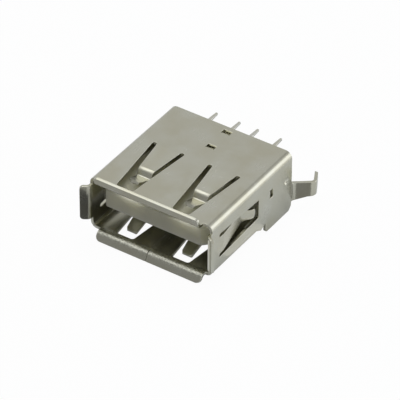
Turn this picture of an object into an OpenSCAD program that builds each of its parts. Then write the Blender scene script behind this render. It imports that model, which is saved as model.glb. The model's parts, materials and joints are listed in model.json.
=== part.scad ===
// Vertical USB-A socket, lying on its two skirts.
// +X runs across the mouth, +Y from the mouth to the board, +Z up, in millimetres.

/* [Shell] */
// Outside width of the shell
shell_w = 13.1; // [12.9:0.1:13.6]
// Outside height of the shell
shell_h = 5.72; // [5.6:0.02:6]
// Length of the shell from the edge of the mouth to the edge at the board
shell_l = 12.95; // [12.4:0.05:14.2]
// Thickness of the sheet
sheet_t = 0.3; // [0.25:0.01:0.32]
// Inside radius of the four long bends
bend_r = 0.4; // [0.3:0.05:0.5]
// Gap of the butt seam along the middle of the bottom
seam_gap = 0.06; // [0.04:0.01:0.2]

/* [Mouth lips] */
// How far the upper lip's bend starts in front of the corners' edge
top_lip_root = 0.24; // [0.1:0.02:0.3]
// Angle by which the upper lip turns out of its wall
top_lip_angle = 80; // [60:1:85]
// How far the upper lip stands out of its wall
top_lip_rise = 0.8; // [0.6:0.01:0.9]
// How far the bends of the lower and side lips start in front of the corners' edge
lip_root = 0.12; // [0.06:0.02:0.3]
// Angle by which the lower and side lips turn out of their walls
lip_angle = 58; // [45:1:70]
// How far the lower and side lips stand out of their walls
lip_rise = 0.66; // [0.5:0.01:0.8]
// Inside radius of a lip's bend
lip_r = 0.3; // [0.15:0.05:0.35]
// Gap from the end of the upper lip to the bend of the corner
lip_gap = 0.3; // [0.2:0.01:0.5]
// Mean gap from the ends of the lower lip to the bends of the corners
low_lip_gap = 0.22; // [0.2:0.01:0.4]
// Shift of the lower lip to the right
low_lip_x = 0.16; // [0:0.02:0.18]
// Rounding of the free corners of the upper and side lips
lip_corner = 0.35; // [0.2:0.05:0.45]
// Rounding of the free corners of the lower lip
low_lip_corner = 0.5; // [0.3:0.05:0.55]
// Length of a side lip
side_lip_w = 3.7; // [3.2:0.05:3.7]
// Height of the middle of a side lip above the shell's bottom
side_lip_z = 3; // [2.86:0.01:3.1]

/* [Spring fingers in the top and bottom] */
// Distance of a finger's middle from the middle of the shell
finger_x = 2.98; // [2.8:0.02:3.1]
// Distance of a finger's root from the mouth
finger_root = 7.13; // [6.8:0.01:7.3]
// Width of a finger at its root
finger_root_w = 2.54; // [2.2:0.02:2.7]
// Width of a finger at the foot of its step
finger_mid_w = 1.4; // [1.2:0.02:1.6]
// Width of a finger at its tip
finger_tip_w = 1.15; // [0.9:0.05:1.2]
// Width of the slot on each side of a finger
slot_w = 0.43; // [0.3:0.01:0.45]
// Width of the window past a finger's tip
window_w = 1.85; // [1.8:0.05:2]
// Distance from the mouth to the front of the window
window_y = 0.2; // [0.1:0.01:0.3]
// Rounding of the window's front corners
window_r = 0.3; // [0.1:0.05:0.5]
// Inward slope of a finger
finger_slope = 2; // [1:0.5:3]
// Length of a finger from its root to the knuckle
finger_run = 3.18; // [3:0.02:3.4]
// Angle of the knuckle
knuckle_angle = 54; // [45:1:60]
// Inside radius of the knuckle and of the foot of the step
knuckle_r = 0.15; // [0.1:0.01:0.2]
// Straight length of the step
step_l = 0.39; // [0.2:0.01:0.5]
// Angle at which a finger's tip turns back out
tip_angle = 21; // [15:1:24]
// Length of the tips of the upper fingers
tip_l = 1.46; // [1.2:0.02:1.8]
// Length of the tips of the lower fingers
low_tip_l = 1.96; // [1.6:0.02:2]
// Rounding of a tip's corners
tip_r = 0.35; // [0.1:0.05:0.4]

/* [Spring fingers in the sides] */
// Distance of a side finger's root from the mouth
side_root = 1.32; // [1.2:0.02:1.4]
// Height of a side finger's middle above the shell's bottom
side_z = 2.83; // [2.76:0.01:2.9]
// Width of a side finger at its root
side_root_w = 1.84; // [1.6:0.02:1.9]
// Width of a side finger at its crown
side_mid_w = 1.2; // [1:0.05:1.4]
// Width of a side finger at its tip
side_tip_w = 1; // [0.8:0.05:1]
// Width of the slit on each side of a side finger
side_slit_w = 0.38; // [0.2:0.01:0.4]
// Length of the window around a side finger
side_window_l = 6.18; // [6.1:0.02:6.4]
// Height of the window past the tip of a side finger
side_window_w = 1.98; // [1.6:0.02:2.1]
// Rounding of the window's corners past the tip
side_window_r = 0.12; // [0.1:0.01:0.3]
// Length of a side finger in the plane of its wall
side_flat = 0.4; // [0.3:0.05:0.5]
// Angle by which a side finger turns inwards
side_in = 9.5; // [7:0.5:9.5]
// Straight length of a side finger from there to its crown
side_run = 3.6; // [3.2:0.05:3.6]
// Angle of the ramp back to the wall
side_out = 42; // [35:1:45]
// Straight length of the ramp
side_ramp = 0.3; // [0.2:0.02:0.34]
// Inside radius of a side finger's crown
crown_r = 0.9; // [0.6:0.05:1]
// Inside radius of a side finger's other bends
side_r = 0.3; // [0.2:0.05:0.35]
// Length of the flat tip
side_tip_l = 0.2; // [0.1:0.05:0.25]

/* [Lances and dimples] */
// Width of a lance across the shell
lance_w = 0.9; // [0.6:0.05:1]
// Length of a lance along the shell
lance_l = 0.62; // [0.5:0.02:0.8]
// Angle by which a lance dips into the housing
lance_angle = 28; // [15:1:30]
// Gap sheared around a lance
lance_gap = 0.05; // [0.03:0.01:0.08]
// Distance of the rear lance's front edge from the edge at the board
lance_rear = 1.13; // [0.95:0.01:1.3]
// Distance of the front and side lances' front edges from the edge at the board
lance_front = 3.7; // [3.2:0.02:3.8]
// Height of the side lances above the shell's bottom
side_lance_z = 3.22; // [2.8:0.01:3.4]
// Height of the dimple in each side above the shell's bottom
dimple_z = 3.05; // [2.6:0.05:3.2]
// Diameter of the dimple in each side
dimple_d = 0.7; // [0.4:0.05:0.8]
// Depth of the dimple
dimple_depth = 0.18; // [0.08:0.01:0.2]
// Distance of the dimple from the edge at the board
dimple_rear = 0.95; // [0.7:0.05:1.2]

/* [Skirts and legs] */
// Gap from the line of the lower bend to the bottom's edge beside a skirt
flap_gap = 0.65; // [0.5:0.05:0.9]
// How far the lower bend ends in front of a skirt
flap_l = 1.5; // [1.3:0.05:1.7]
// Height of the wall's lower edge where the bend ends
flap_z = 0.44; // [0.4:0.01:0.5]
// Distance of the lowest point of that edge from the skirt
lobe_l = 0.8; // [0.6:0.05:1]
// Height of that point above the shell's bottom
lobe_z = 0.08; // [0:0.01:0.2]
// Length of the top of the notch in front of a skirt
notch_l = 0.16; // [0.1:0.02:0.3]
// Height of the notch's top above the shell's bottom
notch_z = 0.36; // [0.3:0.01:0.5]
// How far a skirt starts in front of the housing's block
skirt_lead = 0.37; // [0.3:0.01:0.5]
// How far a skirt reaches below the shell's bottom
skirt_drop = 0.68; // [0.4:0.01:0.7]
// Rounding of a skirt's lower front corner
skirt_r = 0.25; // [0.1:0.05:0.4]
// Chamfer of a skirt's lower corner at the board
skirt_chamfer = 0.4; // [0.2:0.01:0.5]
// Height of the lower edge of a leg above the shell's bottom
leg_z = 0.1; // [0:0.05:0.4]
// Width of a leg at its root
leg_w = 2.1; // [1.8:0.05:2.3]
// Width of a leg at its knee
leg_knee_w = 1.62; // [1.5:0.02:1.8]
// Drop of a leg's upper edge from its root to its knee
leg_drop = 0.1; // [0.05:0.01:0.2]
// Width of a leg at its tip
leg_tip_w = 1.4; // [1.2:0.05:1.5]
// Rounding of the corners of a leg's tip
leg_corner = 0.25; // [0.1:0.05:0.4]
// Angle by which a leg turns outwards
leg_out = 49; // [40:1:55]
// Angle by which a leg's end turns inwards
leg_in = 28; // [10:1:30]
// Straight length of a leg's outward part
leg_run = 1.62; // [1:0.01:1.7]
// Straight length of a leg's end
leg_end = 1.3; // [0.8:0.05:1.4]
// Inside radius of a leg's bends
leg_r = 0.3; // [0.2:0.05:0.4]

/* [Housing] */
// Clearance between the housing and the shell
housing_clear = 0.03; // [0.02:0.01:0.06]
// Distance of the tongue's front from the mouth
tongue_y = 0.82; // [0.7:0.02:1]
// Length of the tongue in front of the block
tongue_l = 8.3; // [8.2:0.05:8.7]
// Width of the tongue
tongue_w = 11.05; // [10.8:0.05:11.1]
// Thickness of the tongue
tongue_t = 1.84; // [1.78:0.01:1.9]
// Gap between the shell's bottom and the tongue
tongue_gap = 1.93; // [1.9:0.01:2]
// Chamfer of the tongue's right front corner
key_chamfer = 0.8; // [0.5:0.05:1.2]
// Chamfer of the tongue's left front corner
corner_chamfer = 0.15; // [0.1:0.05:0.3]
// Depth of the grooves that hold the contacts
groove_depth = 0.75; // [0.7:0.01:0.85]
// Length of the closed nose in front of the grooves
nose_l = 0.5; // [0.4:0.05:0.6]

/* [Contacts] */
// Pitch of the two inner contacts
inner_pitch = 2; // [1.9:0.05:2.2]
// Pitch from an inner to an outer contact
outer_pitch = 2.5; // [2.4:0.05:2.6]
// Thickness of the contact strip
contact_t = 0.22; // [0.2:0.01:0.26]
// Width of a contact in the housing
contact_w = 1; // [0.9:0.05:1.2]
// Clearance around a contact in the housing
contact_clear = 0.03; // [0.02:0.01:0.05]
// Height of a contact's apex below the tongue
apex_drop = 0.3; // [0.2:0.02:0.4]
// Downward angle of a contact's beam
beam_angle = 9; // [8:0.5:11]
// Upward angle of a contact's nose
nose_angle = 24; // [15:1:26]
// Inside radius of a contact's bends
contact_r = 0.25; // [0.2:0.01:0.3]
// Length of a contact's nose in front of the apex
contact_nose = 0.9; // [0.7:0.05:1]
// Gap between a contact's nose and the closed end of its groove
nose_clear = 0.12; // [0.08:0.01:0.2]
// Distance of the riser from the block's front
riser_y = 0.8; // [0.6:0.05:1]
// Height of the pins' upper face above the shell's bottom
pin_z = 4.2; // [4.1:0.01:4.4]
// Width of a pin
pin_w = 0.38; // [0.34:0.02:0.6]
// Width of a pin at its tip
pin_tip_w = 0.2; // [0.16:0.02:0.3]
// Length of the tapered end of a pin
pin_taper = 1.5; // [1:0.1:2]
// How far the pins stand out of the shell
pin_out = 2.95; // [2.4:0.05:3.2]

/* [Hidden] */
$fn = 64;
// Largest turn of one facet of a small bend
bend_facet = 6;
// Radius of the slight bend at a finger's root
finger_root_r = 2;

// Overlap where a bent part grows out of its wall, and the excess of a cut past a face
root_lap = 0.2;
cut_lap = 1;

// Long lips end short of the corner bends
corner_r = bend_r + sheet_t;
flat_w = shell_w - 2 * corner_r;
top_lip_w = flat_w - 2 * lip_gap;
low_lip_w = flat_w - 2 * low_lip_gap;

// The block fills the shell behind the tongue, and the skirts start just in front of it
block_y = tongue_y + tongue_l;
skirt_y = block_y - skirt_lead;
flap_y = skirt_y - flap_l;

// Steps of a folded strip: straight length, angle of the bend after it, inside radius of that bend
finger_steps = [
    [root_lap, -finger_slope, finger_root_r],
    [finger_run, -knuckle_angle, knuckle_r],
    [step_l, finger_slope + knuckle_angle + tip_angle, knuckle_r]
];
finger_mid = strip_reach(finger_steps, sheet_t) - root_lap;
side_steps = [
    [root_lap + side_flat, -side_in, side_r],
    [side_run, side_in + side_out, crown_r],
    [side_ramp, -side_out, side_r],
    [side_tip_l, 0, 0]
];
leg_steps = [
    [root_lap, leg_out, leg_r],
    [leg_run, -leg_out - leg_in, leg_r],
    [leg_end, 0, 0]
];
leg_reach = strip_reach(leg_steps, sheet_t) - root_lap;

// Contact: from the pin's tip down the riser and along the groove to the apex and the nose
tongue_z = sheet_t + tongue_gap;
pin_tip_y = shell_l + pin_out;
riser_front = block_y + riser_y;
inner_x = inner_pitch / 2;
outer_x = inner_x + outer_pitch;
contact_x = [-outer_x, -inner_x, inner_x, outer_x];
beam_z = tongue_z + contact_clear + contact_t;
riser_l = pin_z - beam_z - 2 * contact_r - contact_t;
pin_run = pin_tip_y - riser_front - contact_r - contact_t;
beam_run = (apex_drop + contact_clear) / sin(beam_angle);
apex_steps = [
    [beam_run, beam_angle + nose_angle, contact_r],
    [contact_nose, 0, 0]
];
apex_reach = strip_reach(concat([[0, -beam_angle, contact_r]], apex_steps), contact_t);
flat_run = riser_front - contact_r - apex_reach - tongue_y - nose_l - nose_clear;
contact_steps = concat(
    [
        [pin_run, -90, contact_r],
        [riser_l, 90, contact_r],
        [flat_run, -beam_angle, contact_r]
    ],
    apex_steps
);

// Place of the mouth, with the whole part centred over the origin and resting on its lowest edges
lip_reach = max(
    strip_reach(lip_steps(top_lip_root, top_lip_angle, top_lip_rise), sheet_t),
    strip_reach(lip_steps(lip_root, lip_angle, lip_rise), sheet_t)
) - root_lap;
rear_reach = shell_l + max(pin_out, leg_reach);
mouth_y = (lip_reach - rear_reach) / 2;
lift = max(lip_rise, skirt_drop);

// Steps of a lip that turns out by an angle in front of its wall and stands out by a given rise
function lip_steps(root, angle, rise) =
    [[root_lap + root, angle, lip_r], [(rise - lip_r * (1 - cos(angle))) / sin(angle), 0, 0]];

// Distance of a lip's free edge from the corners' edge, along the lip's own plane
function lip_end(root, angle, rise) =
    let (path = strip_path(lip_steps(root, angle, rise), sheet_t), last = path[len(path) - 1])
    (last.x - root_lap) * cos(angle) + last.y * sin(angle);

function turned(p, a) = [p.x * cos(a) - p.y * sin(a), p.x * sin(a) + p.y * cos(a)];

// Shift of a strip's upper face through a bend, upwards for a positive angle
function bend_shift(a, r, t) = a > 0 ? r * [sin(a), 1 - cos(a)] : (r + t) * [-sin(a), cos(a) - 1];

// Points of a strip's upper face after its start, each with the strip's heading there
function strip_path(steps, t, i = 0, p = [0, 0], a = 0) =
    i == len(steps) ? []
    : let (
        step = steps[i],
        start = p + turned([step.x, 0], a),
        count = ceil(abs(step.y) / bend_facet),
        turns = [for (k = [0:count]) count == 0 ? 0 : step.y * k / count],
        bend = [for (turn = turns) concat(start + turned(bend_shift(turn, step.z, t), a), [a + turn])],
        last = bend[count]
    )
    concat(bend, strip_path(steps, t, i + 1, [last.x, last.y], last.z));

// Furthest reach of a strip's end along its first direction
function strip_reach(steps, t) =
    let (path = strip_path(steps, t), last = path[len(path) - 1])
    last.x + max(0, t * sin(last.z));

// Moves the whole part over the origin
module placed() {
    translate([0, mouth_y, lift])
        children();
}

// Section of a folded strip, with its upper face starting along +X
module strip_section(steps, t) {
    path = concat([[0, 0, 0]], strip_path(steps, t));
    upper = [for (p = path) [p.x, p.y]];
    lower = [for (p = path) [p.x + t * sin(p.z), p.y - t * cos(p.z)]];
    polygon(concat(upper, [for (i = [len(lower) - 1:-1:0]) lower[i]]));
}

// Turns a section that runs along +X into a strip that runs towards the mouth, its upper face up
module towards_mouth(width) {
    rotate([90, 0, -90])
        linear_extrude(width, center = true)
            children();
}

// Turns a section into a strip that runs towards the board along the right wall, its upper face out
module along_wall(width) {
    rotate(180, [1, 1, 0])
        linear_extrude(width, center = true)
            children();
}

// Extrudes a front view from one distance behind the mouth to another
module along_shell(from, to) {
    translate([0, to, 0])
        rotate([90, 0, 0])
            linear_extrude(to - from)
                children();
}

// Extrudes a right-hand side view, drawn as [distance from the mouth, height], across the shell
module across_shell(from, to) {
    translate([from, 0, 0])
        rotate([90, 0, 90])
            linear_extrude(to - from)
                children();
}

module both_sides() {
    children();
    mirror([1, 0, 0])
        children();
}

module upside_down() {
    translate([0, 0, shell_h])
        mirror([0, 0, 1])
            children();
}

module top_and_bottom() {
    children();
    upside_down()
        children();
}

module rounded_rect(w, h, r) {
    square([w - 2 * r, h], center = true);
    square([w, h - 2 * r], center = true);
    for (x = [-1, 1], y = [-1, 1])
        translate([x * (w / 2 - r), y * (h / 2 - r)])
            circle(r);
}

// Plan of a window around a finger whose root lies on the Y axis and which runs along +X
module window_plan(length, root_w, slot, far_w, r) {
    half = root_w / 2 + slot;
    polygon([
        [0, -half],
        [length - r, -far_w / 2],
        [length - r, far_w / 2],
        [0, half]
    ]);
    translate([0, r - far_w / 2])
        square([length, far_w - 2 * r]);
    for (side = [-1, 1]) {
        translate([0, side * (half - slot / 2)])
            circle(d = slot);
        translate([length - r, side * (far_w / 2 - r)])
            circle(r);
    }
}

// Plan of a finger that narrows to its middle and on to its tip, with rounded corners there
module finger_plan(length, mid, root_w, mid_w, tip_w, r) {
    half = [
        [-root_lap, root_w / 2],
        [0, root_w / 2],
        [mid, mid_w / 2],
        [length - r, tip_w / 2]
    ];
    polygon(concat(half, [for (i = [len(half) - 1:-1:0]) [half[i].x, -half[i].y]]));
    translate([mid, r - tip_w / 2])
        square([length - mid, tip_w - 2 * r]);
    for (side = [-1, 1])
        translate([length - r, side * (tip_w / 2 - r)])
            circle(r);
}

// Tube of the shell, cut away along the rear of its lower bends
module shell_tube() {
    difference() {
        along_shell(0, shell_l)
            translate([0, shell_h / 2])
                difference() {
                    rounded_rect(shell_w, shell_h, corner_r);
                    rounded_rect(shell_w - 2 * sheet_t, shell_h - 2 * sheet_t, bend_r);
                }
        both_sides()
            translate([flat_w / 2 - flap_gap, flap_y, -cut_lap])
                cube([shell_w, shell_l, corner_r + cut_lap]);
    }
}

// Right skirt: where the bend ends, the side wall runs straight down, round a notch and past the bottom
module skirt() {
    wall_z = corner_r + root_lap;
    across_shell(shell_w / 2 - sheet_t, shell_w / 2) {
        polygon([
            [flap_y, wall_z],
            [flap_y, flap_z],
            [skirt_y - lobe_l, lobe_z],
            [skirt_y - notch_l, notch_z],
            [skirt_y, notch_z],
            [skirt_y, skirt_r - skirt_drop],
            [skirt_y + skirt_r, skirt_r - skirt_drop],
            [skirt_y + skirt_r, -skirt_drop],
            [shell_l - skirt_chamfer, -skirt_drop],
            [shell_l, skirt_chamfer - skirt_drop],
            [shell_l, wall_z]
        ]);
        translate([skirt_y + skirt_r, skirt_r - skirt_drop])
            circle(skirt_r);
    }
}

// Lip on a wall whose outer face is the XY plane, with the corners' edge on the X axis
module lip(width, root, angle, rise, corner) {
    intersection() {
        translate([0, root_lap, 0])
            towards_mouth(width)
                strip_section(lip_steps(root, angle, rise), sheet_t);
        rotate([180 - angle, 0, 0])
            linear_extrude(2 * shell_h, center = true)
                translate([0, lip_end(root, angle, rise) - shell_h / 2])
                    rounded_rect(width, shell_h, corner);
    }
}

// The four lips round the mouth
module mouth_lips() {
    translate([0, 0, shell_h])
        lip(top_lip_w, top_lip_root, top_lip_angle, top_lip_rise, lip_corner);
    translate([low_lip_x, 0, 0])
        mirror([0, 0, 1])
            lip(low_lip_w, lip_root, lip_angle, lip_rise, low_lip_corner);
    both_sides()
        translate([shell_w / 2, 0, side_lip_z])
            rotate([0, 90, 0])
                lip(side_lip_w, lip_root, lip_angle, lip_rise, lip_corner);
}

// Places a plan that starts at a finger's root on the top wall
module on_finger_root() {
    translate([finger_x, finger_root, 0])
        rotate(-90)
            children();
}

module finger_window() {
    translate([0, 0, shell_h - sheet_t - cut_lap / 4])
        linear_extrude(sheet_t + cut_lap)
            on_finger_root()
                window_plan(finger_root - window_y, finger_root_w, slot_w, window_w, window_r);
}

module finger(tip) {
    steps = concat(finger_steps, [[tip, 0, 0]]);
    length = strip_reach(steps, sheet_t) - root_lap;
    intersection() {
        translate([finger_x, finger_root + root_lap, shell_h])
            towards_mouth(finger_root_w)
                strip_section(steps, sheet_t);
        linear_extrude(shell_h + cut_lap)
            on_finger_root()
                finger_plan(length, finger_mid, finger_root_w, finger_mid_w, finger_tip_w, tip_r);
    }
}

module side_window() {
    across_shell(shell_w / 2 - sheet_t - cut_lap / 4, shell_w / 2 + cut_lap)
        translate([side_root, side_z])
            window_plan(side_window_l, side_root_w, side_slit_w, side_window_w, side_window_r);
}

module side_finger() {
    length = strip_reach(side_steps, sheet_t) - root_lap;
    side_mid = side_flat + side_run;
    intersection() {
        translate([shell_w / 2, side_root - root_lap, side_z])
            along_wall(side_root_w)
                strip_section(side_steps, sheet_t);
        across_shell(0, shell_w)
            translate([side_root, side_z])
                finger_plan(length, side_mid, side_root_w, side_mid_w, side_tip_w, tip_r);
    }
}

// Hole of a lance in a wall whose outer face is the XY plane, with its front edge on the X axis
module lance_hole() {
    translate([-lance_w / 2, 0, -sheet_t - cut_lap / 4])
        cube([lance_w, lance_l, sheet_t + cut_lap]);
}

// Tab of a lance, rooted at the edge towards the mouth and dipping towards the board
module lance_tab() {
    bend_l = (lance_gap + sheet_t) * sin(lance_angle);
    tab_l = (lance_l - lance_gap - bend_l) / cos(lance_angle);
    steps = [[root_lap, -lance_angle, lance_gap], [tab_l, 0, 0]];
    translate([0, -root_lap, 0])
        mirror([0, 1, 0])
            towards_mouth(lance_w - 2 * lance_gap)
                strip_section(steps, sheet_t);
}

// Room for a lance's tab in the housing
module lance_room() {
    depth = sheet_t + (lance_l + sheet_t) * sin(lance_angle) + housing_clear;
    translate([-lance_w / 2, -sheet_t, -depth])
        cube([lance_w, lance_l + sheet_t + lance_gap, depth]);
}

// Repeats a lance's shape at the places of all lances
module at_lances() {
    for (rear = [lance_rear, lance_front])
        translate([0, shell_l - rear, shell_h])
            children();
    both_sides()
        translate([shell_w / 2, shell_l - lance_front, side_lance_z])
            rotate([0, 90, 0])
                children();
}

module dimple() {
    ball_r = (dimple_d * dimple_d / 4 + dimple_depth * dimple_depth) / (2 * dimple_depth);
    translate([shell_w / 2 + ball_r - dimple_depth, shell_l - dimple_rear, dimple_z])
        sphere(ball_r);
}

// Side view of a leg, from the lower corner of its root
module leg_plan() {
    knee_y = leg_run * cos(leg_out);
    knee_z = leg_w - leg_drop - leg_knee_w / 2;
    end_y = leg_reach - leg_corner;
    polygon([
        [-root_lap, 0],
        [0, 0],
        [knee_y, knee_z - leg_knee_w / 2],
        [end_y, knee_z - leg_tip_w / 2],
        [end_y, knee_z + leg_tip_w / 2],
        [knee_y, knee_z + leg_knee_w / 2],
        [0, leg_w],
        [-root_lap, leg_w]
    ]);
    translate([knee_y, knee_z + leg_corner - leg_tip_w / 2])
        square([leg_reach - knee_y, leg_tip_w - 2 * leg_corner]);
    for (side = [-1, 1])
        translate([end_y, knee_z + side * (leg_tip_w / 2 - leg_corner)])
            circle(leg_corner);
}

// Right leg: a strip that goes on from the side wall, out and back in
module leg() {
    intersection() {
        translate([shell_w / 2, shell_l - root_lap, leg_z + leg_w / 2])
            along_wall(leg_w)
                strip_section(leg_steps, sheet_t);
        across_shell(0, 2 * shell_w)
            translate([shell_l, leg_z])
                leg_plan();
    }
}

// Folded sheet shell with its lips, springs, lances, skirts and legs in one piece
module shell() {
    color([0.72, 0.72, 0.68])
        placed()
            difference() {
                union() {
                    difference() {
                        union() {
                            shell_tube();
                            mouth_lips();
                        }
                        top_and_bottom()
                            both_sides()
                                finger_window();
                        at_lances()
                            lance_hole();
                        both_sides() {
                            side_window();
                            dimple();
                        }
                    }
                    at_lances()
                        lance_tab();
                    both_sides() {
                        finger(tip_l);
                        upside_down()
                            finger(low_tip_l);
                        side_finger();
                        skirt();
                        leg();
                    }
                }
                translate([-seam_gap / 2, -shell_l, -shell_h])
                    cube([seam_gap, 3 * shell_l, shell_h + sheet_t + cut_lap / 4]);
            }
}

// Front view of the housing's block, square at the bottom where the shell's bends are cut away
module block_section() {
    w = shell_w - 2 * (sheet_t + housing_clear);
    h = shell_h - 2 * (sheet_t + housing_clear);
    translate([0, shell_h / 2])
        rounded_rect(w, h, bend_r);
    translate([-w / 2, shell_h / 2 - h / 2])
        square([w, h / 2]);
}

// Plan of the tongue, reaching into the block
module tongue_plan() {
    half = tongue_w / 2;
    polygon([
        [-half, block_y + root_lap],
        [-half, tongue_y + corner_chamfer],
        [corner_chamfer - half, tongue_y],
        [half - key_chamfer, tongue_y],
        [half, tongue_y + key_chamfer],
        [half, block_y + root_lap]
    ]);
}

// Groove under the tongue, passage and rear slot for one contact
module contact_room() {
    w = contact_w + 2 * contact_clear;
    front = tongue_y + nose_l;
    slot = riser_front - contact_r - contact_clear;
    translate([-w / 2, front, tongue_z - cut_lap])
        cube([w, block_y - front, groove_depth + cut_lap]);
    translate([-w / 2, front, tongue_z])
        cube([w, riser_front - front, contact_t + 2 * contact_clear]);
    translate([-w / 2, slot, tongue_z])
        cube([w, shell_l, pin_z + contact_clear - tongue_z]);
}

// Moulded housing: the block in the shell's rear and the tongue in its mouth
module housing() {
    color([0.86, 0.86, 0.82])
        placed()
            difference() {
                union() {
                    along_shell(block_y, shell_l)
                        block_section();
                    translate([0, 0, tongue_z])
                        linear_extrude(tongue_t)
                            tongue_plan();
                }
                for (x = contact_x)
                    translate([x, 0, 0])
                        contact_room();
                at_lances()
                    lance_room();
            }
}

// Plan of a contact: wide in the housing, then a pin with a tapered end
module contact_plan() {
    shoulder = shell_l - root_lap;
    translate([-contact_w / 2, 0])
        square([contact_w, shoulder]);
    polygon([
        [-pin_w / 2, shoulder - root_lap],
        [pin_w / 2, shoulder - root_lap],
        [pin_w / 2, pin_tip_y - pin_taper],
        [pin_tip_w / 2, pin_tip_y],
        [-pin_tip_w / 2, pin_tip_y],
        [-pin_w / 2, pin_tip_y - pin_taper]
    ]);
}

// Contact: a folded strip from the pin through the housing to the sprung apex under the tongue
module contact(x) {
    color([0.8, 0.78, 0.7])
        placed()
            translate([x, 0, 0])
                intersection() {
                    translate([0, pin_tip_y, pin_z])
                        towards_mouth(contact_w)
                            strip_section(contact_steps, contact_t);
                    linear_extrude(shell_h)
                        contact_plan();
                }
}

shell();
housing();
for (i = [0:3])
    contact(contact_x[i]);
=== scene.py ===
"""Looks of a vertical board socket: a plated sheet shell, a moulded tongue block and tinned contacts."""

import json
import math

import bmesh
import bpy
from mathutils import Matrix, Vector
from mathutils.bvhtree import BVHTree

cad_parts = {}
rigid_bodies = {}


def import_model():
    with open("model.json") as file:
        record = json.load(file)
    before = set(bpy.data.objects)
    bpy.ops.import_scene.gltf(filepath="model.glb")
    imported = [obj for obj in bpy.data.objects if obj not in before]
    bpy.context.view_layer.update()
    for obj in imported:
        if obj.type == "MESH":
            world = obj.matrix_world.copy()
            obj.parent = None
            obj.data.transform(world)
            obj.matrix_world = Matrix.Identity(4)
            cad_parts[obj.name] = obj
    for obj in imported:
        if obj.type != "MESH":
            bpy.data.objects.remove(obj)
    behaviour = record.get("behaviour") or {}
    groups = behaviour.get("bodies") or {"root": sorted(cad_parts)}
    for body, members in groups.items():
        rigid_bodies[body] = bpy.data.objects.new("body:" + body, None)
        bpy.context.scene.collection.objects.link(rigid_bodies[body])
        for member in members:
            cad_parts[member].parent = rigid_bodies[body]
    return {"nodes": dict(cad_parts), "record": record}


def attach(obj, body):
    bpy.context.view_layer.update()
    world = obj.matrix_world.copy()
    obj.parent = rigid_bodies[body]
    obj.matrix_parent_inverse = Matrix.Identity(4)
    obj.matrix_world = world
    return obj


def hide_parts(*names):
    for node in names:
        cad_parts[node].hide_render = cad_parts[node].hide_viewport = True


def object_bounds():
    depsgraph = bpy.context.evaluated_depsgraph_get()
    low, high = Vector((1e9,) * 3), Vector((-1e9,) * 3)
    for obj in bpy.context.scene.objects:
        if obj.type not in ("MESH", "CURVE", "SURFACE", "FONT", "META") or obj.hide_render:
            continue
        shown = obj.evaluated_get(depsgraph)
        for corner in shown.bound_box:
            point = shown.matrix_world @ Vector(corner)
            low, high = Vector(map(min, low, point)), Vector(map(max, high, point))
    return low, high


MM = 0.001

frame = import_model()
cad_low, cad_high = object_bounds()
mounts = {mount["name"]: Vector(mount["pos_m"]) for mount in frame["record"]["mounts"]}

# The camera, around the middle of the face that meets the board, with its angles in degrees
CAMERA_AIM = mounts["board_seat"] + Vector((0.817, -6.317, -0.970)) * MM
CAMERA_AZIMUTH = 33.449
CAMERA_ELEVATION = 37.957
CAMERA_ROLL = 0.41
CAMERA_DISTANCE = 303.5 * MM
CAMERA_LENS = 303.9
CAMERA_NEAR = 10 * MM

# The studio's even light, its white, the matt colour of its floor and the colour of its key lamp
EVEN_LIGHT = (0.25, 0.25, 0.25, 1)
WHITE = (1, 1, 1, 1)
FLOOR_COLOUR = (0.57, 0.585, 0.61, 1)
COOL_LIGHT = (0.94, 0.95, 1.0)
# Shares of the world's and the floor's white that a camera, a glossy and a transmission ray see
WORLD_SHOWN = (1, 0.5, 1)
FLOOR_SHOWN = (0.965, 0.15, 0.965)
# Side of the floor, and height of the cards that lie on it, in millimetres
FLOOR_SIDE = 3000
ON_FLOOR = 0.02

# Plating on the sheet's faces, and a brighter colour on its rounded edges that is a painted highlight
# along them
NICKEL = (0.58, 0.58, 0.50, 1)
NICKEL_EDGE_HIGHLIGHT = (0.68, 0.68, 0.60, 1)
TIN = (0.66, 0.66, 0.60, 1)
TIN_EDGE_HIGHLIGHT = (0.76, 0.76, 0.70, 1)
# Tints of the plating: in its clouds, in its pits, and between the pits, where the brighter tint is
# partly a painted glint
WARM_TINT = (0.94, 0.92, 0.86)
DULL_TINT = (0.72, 0.72, 0.72)
SPECK_GLINT_TINT = (1.25, 1.25, 1.25)
# Rolling draws the grain out along the sheet
GRAIN_STRETCH = (14, 0.8, 14)
# The plating's relief is counted in this height, and the grain and the pits are so many of it
RELIEF = 0.004 * MM
GRAIN_DEPTH = 0.5
PIT_DEPTH = 60

# The lower lip's bend, in millimetres: where it starts behind the mouth's edge, and its top
MOUTH_HALF_HEIGHT = 2.56
LIP_BEND_REAR = mounts["plug_mouth"].y / MM + 0.284
LIP_BEND_TOP = mounts["plug_mouth"].z / MM - MOUTH_HALF_HEIGHT + 0.04

# Points of a solid closer than this are merged, and edges flatter than this many degrees dissolved
MERGE = 0.001 * MM
FLAT_ANGLE = 0.4
# Edges sharper than the first of these angles are rounded, and than the second shaded as edges
SHARP_ANGLE = 32
SMOOTH_ANGLE = 40
# Size of the rounding on each piece
SHELL_ROUND = 0.03 * MM
HOUSING_ROUND = 0.05 * MM
CONTACT_ROUND = 0.02 * MM
ROUND_SEGMENTS = 2
# A corner that rounding takes further from the solid than this share of its size has strayed
STRAY = 0.6
# Edges this near to a strayed corner stay sharp, and the rounding is tried again
STRAY_REACH = 0.2 * MM
ROUNDING_TRIES = 6

CONTACTS = 4


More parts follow.
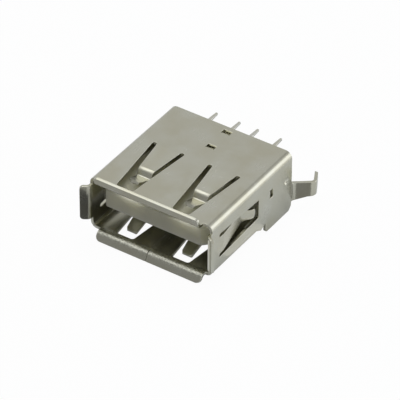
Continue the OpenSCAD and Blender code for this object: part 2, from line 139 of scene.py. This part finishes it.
class Signal:
    """A socket in a material, with the arithmetic that the finishes use."""

    def __init__(self, finish, socket):
        self.finish = finish
        self.socket = socket

    def combined(self, operation, first, second):
        return self.finish.node("ShaderNodeMath", {"operation": operation}, {0: first, 1: second})

    def __add__(self, other):
        return self.combined("ADD", self, other)

    def __radd__(self, other):
        return self.combined("ADD", other, self)

    def __sub__(self, other):
        return self.combined("SUBTRACT", self, other)

    def __rsub__(self, other):
        return self.combined("SUBTRACT", other, self)

    def __mul__(self, other):
        return self.combined("MULTIPLY", self, other)

    def __rmul__(self, other):
        return self.combined("MULTIPLY", other, self)


class Finish:
    """A material, or the world, under construction."""

    def __init__(self, owner):
        owner.use_nodes = True
        self.owner = owner
        self.tree = owner.node_tree
        self.tree.nodes.clear()

    def node(self, kind, settings=None, inputs=None, output=0):
        """Adds any node, with its settings first, and gives back one of its outputs."""
        made = self.tree.nodes.new(kind)
        for name, value in (settings or {}).items():
            if name == "stops":
                self.set_stops(made.color_ramp, value)
            else:
                setattr(made, name, value)
        for key, value in (inputs or {}).items():
            socket = made.inputs[key]
            if isinstance(value, Signal):
                self.tree.links.new(value.socket, socket)
            else:
                socket.default_value = value
        return Signal(self, made.outputs[output]) if made.outputs else None

    @staticmethod
    def set_stops(ramp, stops):
        while len(ramp.elements) < len(stops):
            ramp.elements.new(1)
        for element, (position, level) in zip(ramp.elements, stops):
            element.position = position
            element.color = (level, level, level, 1)

    def shown(self, camera, glossy, transmission):
        """How much of a backdrop's own white a ray of each kind sees."""
        levels = {"Is Camera Ray": camera, "Is Glossy Ray": glossy, "Is Transmission Ray": transmission}
        share = 0
        for kind, level in levels.items():
            share = share + level * self.node("ShaderNodeLightPath", output=kind)
        return share

    def ramp(self, value, *stops):
        """Value carried to the levels of a few (position, level) stops."""
        return self.node("ShaderNodeValToRGB", {"stops": stops}, {"Fac": value})

    def mix(self, share, first, second):
        """A colour between two others."""
        inputs = {"Factor": share, 6: first, 7: second}
        return self.node("ShaderNodeMix", {"data_type": "RGBA"}, inputs, output=2)

    def millimetres(self, stretch=(1, 1, 1)):
        """Object coordinates in millimetres, stretched along the axes."""
        place = self.node("ShaderNodeTexCoord", output="Object")
        scale = [factor / MM for factor in stretch]
        return self.node("ShaderNodeMapping", inputs={"Vector": place, "Scale": scale})

    def coordinate(self, place, axis):
        return self.node("ShaderNodeSeparateXYZ", inputs={0: place}, output=axis)

    def lower_lip_bend(self, place):
        """One on the tight bend of the lower lip, where the plating is pitted, and nought elsewhere."""
        ahead = LIP_BEND_REAR - self.coordinate(place, "Y")
        below = LIP_BEND_TOP - self.coordinate(place, "Z")
        in_front = self.ramp(ahead, (0, 0), (0.2, 1))
        on_bend = self.ramp(below, (0, 0), (0.08, 1), (0.22, 1), (0.36, 0))
        return in_front * on_bend

    def noise(self, place, per_mm, detail, roughness=0.5):
        inputs = {"Vector": place, "Scale": per_mm, "Detail": detail, "Roughness": roughness}
        return self.node("ShaderNodeTexNoise", {"normalize": True}, inputs, output="Fac")

    def bump(self, height, strength, depth):
        inputs = {"Strength": strength, "Distance": depth, "Height": height}
        return self.node("ShaderNodeBump", inputs=inputs)


def rgb(red, green, blue):
    """A colour written as it looks on screen, from 0 to 255, as linear light."""
    levels = [level / 255 for level in (red, green, blue)]
    linear = [v / 12.92 if v <= 0.04045 else ((v + 0.055) / 1.055) ** 2.4 for v in levels]
    return (*linear, 1)


def tinted(colour, tint):
    """A colour with its red, green and blue each taken up or down."""
    return (*(level * factor for level, factor in zip(colour, tint)), 1)


def new_finish(name):
    return Finish(bpy.data.materials.new(name))


def plated_sheet(name, colour, rough):
    """Plating on rolled sheet: a fine grain, cloudy patches, specks, and pits on the tight bend, partly
    painted glints.
    """
    finish = new_finish(name)
    place = finish.millimetres()
    cloud = finish.noise(place, per_mm=0.35, detail=3)
    grain = finish.noise(finish.millimetres(GRAIN_STRETCH), per_mm=1, detail=3)
    speck = finish.noise(place, per_mm=9, detail=4, roughness=0.65)
    pits = finish.noise(place, per_mm=6, detail=3, roughness=0.7)
    bend = finish.lower_lip_bend(place)
    clouds = finish.ramp(cloud, (0.35, 0), (0.65, 1))
    clouded = finish.mix(clouds, tinted(colour, WARM_TINT), colour)
    spots = finish.ramp(pits, (0.40, 0), (0.60, 1))
    # On the bend: dull pits, and brighter spots between them that are partly a painted glint
    pits_and_glints = finish.mix(spots, tinted(colour, DULL_TINT), tinted(colour, SPECK_GLINT_TINT))
    relief = GRAIN_DEPTH * grain + GRAIN_DEPTH * speck + PIT_DEPTH * bend * pits
    shader = finish.node("ShaderNodeBsdfPrincipled", inputs={
        "Base Color": finish.mix(bend, clouded, pits_and_glints),
        "Metallic": 1,
        "Roughness": rough + 0.10 * cloud + 0.05 * grain + 0.04 * bend,
        "Normal": finish.bump(relief, strength=0.25, depth=RELIEF),
    })
    finish.node("ShaderNodeOutputMaterial", inputs={"Surface": shader})
    return finish.owner


def moulded_plastic():
    """Natural, slightly see-through moulding with faint flow clouds and a spark-eroded grain."""
    finish = new_finish("natural_moulding")
    place = finish.millimetres()
    cloud = finish.noise(place, per_mm=0.5, detail=2)
    grain = finish.noise(place, per_mm=12, detail=3)
    shader = finish.node("ShaderNodeBsdfPrincipled", inputs={
        "Base Color": finish.mix(cloud, rgb(205, 203, 179), rgb(217, 215, 194)),
        "Roughness": 0.42 + 0.12 * grain,
        "Subsurface Weight": 1,
        "Subsurface Radius": (1.0, 0.98, 0.9),
        "Subsurface Scale": 2.6 * MM,
        "Normal": finish.bump(grain, strength=0.3, depth=0.006 * MM),
    })
    finish.node("ShaderNodeOutputMaterial", inputs={"Surface": shader})
    return finish.owner


def bevelled(solid, edges, edge_round):
    """A copy of a solid with some of its edges rounded, in the second of its materials."""
    shape = solid.copy()
    shape.edges.ensure_lookup_table()
    made = bmesh.ops.bevel(
        shape, geom=[shape.edges[edge.index] for edge in edges], offset=edge_round,
        offset_type="OFFSET", affect="EDGES", segments=ROUND_SEGMENTS, profile=0.5, material=-1,
        clamp_overlap=False, loop_slide=True,
    )
    for face in made["faces"]:
        face.material_index = 1
    return shape


def strayed(shape, surface, edge_round):
    """Corners of a rounded shape that left the solid's surface, each with the distance."""
    found = [(corner.co.copy(), surface.find_nearest(corner.co)[3]) for corner in shape.verts]
    return [(place, gap) for place, gap in found if gap > STRAY * edge_round]


def clear_of(lost, edge):
    """Whether both ends of an edge lie well away from every strayed corner."""
    return all((end.co - place).length > gap + STRAY_REACH for end in edge.verts for place, gap in lost)


def rounded(solid, edge_round):
    """A copy of a solid with its sharp edges rounded, apart from the few that would grow whiskers."""
    surface = BVHTree.FromBMesh(solid)
    solid.edges.index_update()
    limit = math.radians(SHARP_ANGLE)
    sharp = [edge for edge in solid.edges if edge.is_manifold and edge.calc_face_angle() > limit]
    for _ in range(ROUNDING_TRIES):
        shape = bevelled(solid, sharp, edge_round)
        lost = strayed(shape, surface, edge_round)
        if not lost:
            return shape
        shape.free()
        sharp = [edge for edge in sharp if clear_of(lost, edge)]
    return solid.copy()


def dressed(node, edge_round, materials):
    """A copy of a solid with its doubles merged, its sharp edges rounded and its bends shaded smooth."""
    solid = bmesh.new()
    solid.from_mesh(frame["nodes"][node].data)
    bmesh.ops.remove_doubles(solid, verts=solid.verts, dist=MERGE)
    flat = math.radians(FLAT_ANGLE)
    bmesh.ops.dissolve_limit(solid, angle_limit=flat, verts=solid.verts, edges=solid.edges)
    shape = rounded(solid, edge_round)
    solid.free()
    for corner in shape.verts:
        corner.co = [min(max(c, a), b) for c, a, b in zip(corner.co, cad_low, cad_high)]
    mesh = bpy.data.meshes.new(node + "_skin")
    shape.to_mesh(mesh)
    shape.free()
    for material in materials:
        mesh.materials.append(material)
    mesh.shade_smooth()
    mesh.set_sharp_from_angle(angle=math.radians(SMOOTH_ANGLE))
    piece = bpy.data.objects.new(node + "_skin", mesh)
    bpy.context.scene.collection.objects.link(piece)
    weights = piece.modifiers.new("weighted_normals", "WEIGHTED_NORMAL")
    weights.keep_sharp = True
    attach(piece, "root")
    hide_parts(node)


def directed(azimuth, elevation):
    """Unit vector from the object towards a direction, with azimuth 0 in front of the mouth."""
    a, e = math.radians(azimuth), math.radians(elevation)
    return Vector((math.sin(a) * math.cos(e), -math.cos(a) * math.cos(e), math.sin(e)))


def set_camera():
    data = bpy.data.cameras.new("camera")
    camera = bpy.data.objects.new("camera", data)
    bpy.context.scene.collection.objects.link(camera)
    data.lens = CAMERA_LENS
    data.clip_start = CAMERA_NEAR
    back = directed(CAMERA_AZIMUTH, CAMERA_ELEVATION)
    turn = (-back).to_track_quat("-Z", "Y").to_matrix().to_4x4()
    roll = Matrix.Rotation(math.radians(CAMERA_ROLL), 4, "Z")
    camera.matrix_world = Matrix.Translation(CAMERA_AIM + back * CAMERA_DISTANCE) @ turn @ roll
    bpy.context.scene.camera = camera


def set_world():
    """Even light all round, and a white background wherever a ray shows it."""
    world = bpy.data.worlds.new("studio")
    bpy.context.scene.world = world
    finish = Finish(world)
    even = finish.node("ShaderNodeBackground", inputs={"Color": EVEN_LIGHT})
    white = finish.node("ShaderNodeBackground", inputs={"Color": WHITE})
    share = finish.shown(*WORLD_SHOWN)
    shader = finish.node("ShaderNodeMixShader", inputs={0: share, 1: even, 2: white})
    finish.node("ShaderNodeOutputWorld", inputs={"Surface": shader})


def floor_finish():
    """Matt pale board that looks white, and keeps some of the object's shadow."""
    finish = new_finish("pale_floor")
    matt = finish.node("ShaderNodeBsdfDiffuse", inputs={"Color": FLOOR_COLOUR})
    white = finish.node("ShaderNodeEmission", inputs={"Color": WHITE})
    share = finish.shown(*FLOOR_SHOWN)
    shader = finish.node("ShaderNodeMixShader", inputs={0: share, 1: matt, 2: white})
    finish.node("ShaderNodeOutputMaterial", inputs={"Surface": shader})
    return finish.owner


def card_finish(name, level):
    """An even grey that shows on the front of a card only."""
    finish = new_finish(name)
    glow = finish.node("ShaderNodeEmission", inputs={"Color": (level, level, level, 1)})
    clear = finish.node("ShaderNodeBsdfTransparent")
    behind = finish.node("ShaderNodeNewGeometry", output="Backfacing")
    shader = finish.node("ShaderNodeMixShader", inputs={0: behind, 1: glow, 2: clear})
    finish.node("ShaderNodeOutputMaterial", inputs={"Surface": shader})
    return finish.owner


def add_sheet(name, material, middle, size, tilt=0, heading=0):
    """A flat rectangle in millimetres, tilted about its width, which points along a heading from +X."""
    width, depth = size
    shape = bmesh.new()
    bmesh.ops.create_grid(shape, x_segments=1, y_segments=1, size=0.5)
    turn = Matrix.Rotation(math.radians(heading), 4, "Z") @ Matrix.Rotation(math.radians(tilt), 4, "X")
    spread = Matrix.Diagonal((width * MM, depth * MM, 1, 1))
    place = Matrix.Translation(Vector(middle) * MM) @ turn @ spread
    bmesh.ops.transform(shape, matrix=place, verts=shape.verts)
    mesh = bpy.data.meshes.new(name)
    shape.to_mesh(mesh)
    shape.free()
    mesh.materials.append(material)
    sheet = bpy.data.objects.new(name, mesh)
    bpy.context.scene.collection.objects.link(sheet)
    return sheet


def add_card(name, level, middle, size, tilt=0, heading=0):
    """A grey or white card that only shows in the metal."""
    card = add_sheet(name, card_finish(name, level), middle, size, tilt, heading)
    card.visible_camera = False
    card.visible_diffuse = False
    card.visible_shadow = False
    card.visible_transmission = False


def add_lamp(name, azimuth, elevation, distance, size, level):
    """A soft box, in millimetres, that faces the object. Its level is how bright the object sees it."""
    width, height = (side * MM for side in size)
    data = bpy.data.lights.new(name, "AREA")
    data.shape = "RECTANGLE"
    data.size = width
    data.size_y = height
    data.energy = level * width * height * math.pi
    lamp = bpy.data.objects.new(name, data)
    bpy.context.scene.collection.objects.link(lamp)
    back = directed(azimuth, elevation)
    lamp.location = back * distance * MM
    lamp.rotation_mode = "QUATERNION"
    lamp.rotation_quaternion = (-back).to_track_quat("-Z", "Y")
    return lamp


def set_cards():
    """Cards that the metal mirrors."""
    # Before the mouth: one upright, and one on the floor that is a painted shadow of the object as the
    # metal mirrors it
    add_card("front_card", level=0.29, middle=(-60, -150, 40), size=(300, 120), tilt=-90)
    add_card("mouth_painted_shadow", level=0.41, middle=(-24, -34, ON_FLOOR), size=(60, 50))
    # Close to the left lip and to the right leg, dark flags that are a painted shadow of the object in
    # what they mirror; close to the right lip, a pale card that is a painted reflection of lit floor
    add_card("left_lip_painted_shadow", level=0.08, middle=(-6.1, -9.5, 2.1), size=(2.2, 4.2), tilt=-90, heading=62)
    add_card("right_lip_painted_reflection", level=0.75, middle=(6.2, -7.87, 3.17), size=(0.8, 3.7), tilt=-90, heading=-97)
    add_card("leg_painted_shadow", level=0.27, middle=(7.58, 5.95, 1.5), size=(1.4, 2.2), tilt=-90, heading=41)
    # On the floor: one beside the right wall, a painted light where the floor lies in the object's shade,
    # and a white one further off, behind on the right
    add_card("wall_painted_light", level=0.75, middle=(7.85, -0.9, ON_FLOOR), size=(1.8, 5.5))
    add_card("bounce_card", level=1.0, middle=(118, 92, ON_FLOOR), size=(200, 200))
    # High up behind, for the darker line above the highlight on the bend
    add_card("bend_flag", level=0.42, middle=(45, 230, 260), size=(90, 140), tilt=138)


def set_lamps():
    """A cool key from behind on the right, a box high on the left, and a fill that metal doesn't show."""
    key = add_lamp("key", azimuth=133, elevation=17, distance=500, size=(300, 300), level=1.1)
    key.data.color = COOL_LIGHT
    add_lamp("overhead", azimuth=270, elevation=65, distance=600, size=(600, 400), level=1.0)
    fill = add_lamp("top_fill", azimuth=180, elevation=80, distance=600, size=(500, 500), level=3.8)
    fill.visible_glossy = False


for old in list(bpy.data.objects):
    if old.type in {"LIGHT", "CAMERA"}:
        bpy.data.objects.remove(old)

bpy.context.scene.view_settings.view_transform = "Standard"
set_camera()
set_world()
floor = add_sheet("floor", floor_finish(), middle=(0, 0, 0), size=(FLOOR_SIDE, FLOOR_SIDE))
floor.visible_diffuse = False
set_cards()
set_lamps()

nickel = plated_sheet("nickel_sheet", NICKEL, rough=0.18)
# The edge plating is brighter than the faces: a painted highlight along the rounded edges
nickel_edge_highlight = plated_sheet("nickel_edge_highlight", NICKEL_EDGE_HIGHLIGHT, rough=0.18)
tin = plated_sheet("tinned_strip", TIN, rough=0.20)
tin_edge_highlight = plated_sheet("tinned_edge_highlight", TIN_EDGE_HIGHLIGHT, rough=0.18)
moulding = moulded_plastic()

dressed("shell", SHELL_ROUND, [nickel, nickel_edge_highlight])
dressed("housing", HOUSING_ROUND, [moulding, moulding])
for number in range(1, CONTACTS + 1):
    dressed(f"contact_{number}", CONTACT_ROUND, [tin, tin_edge_highlight])
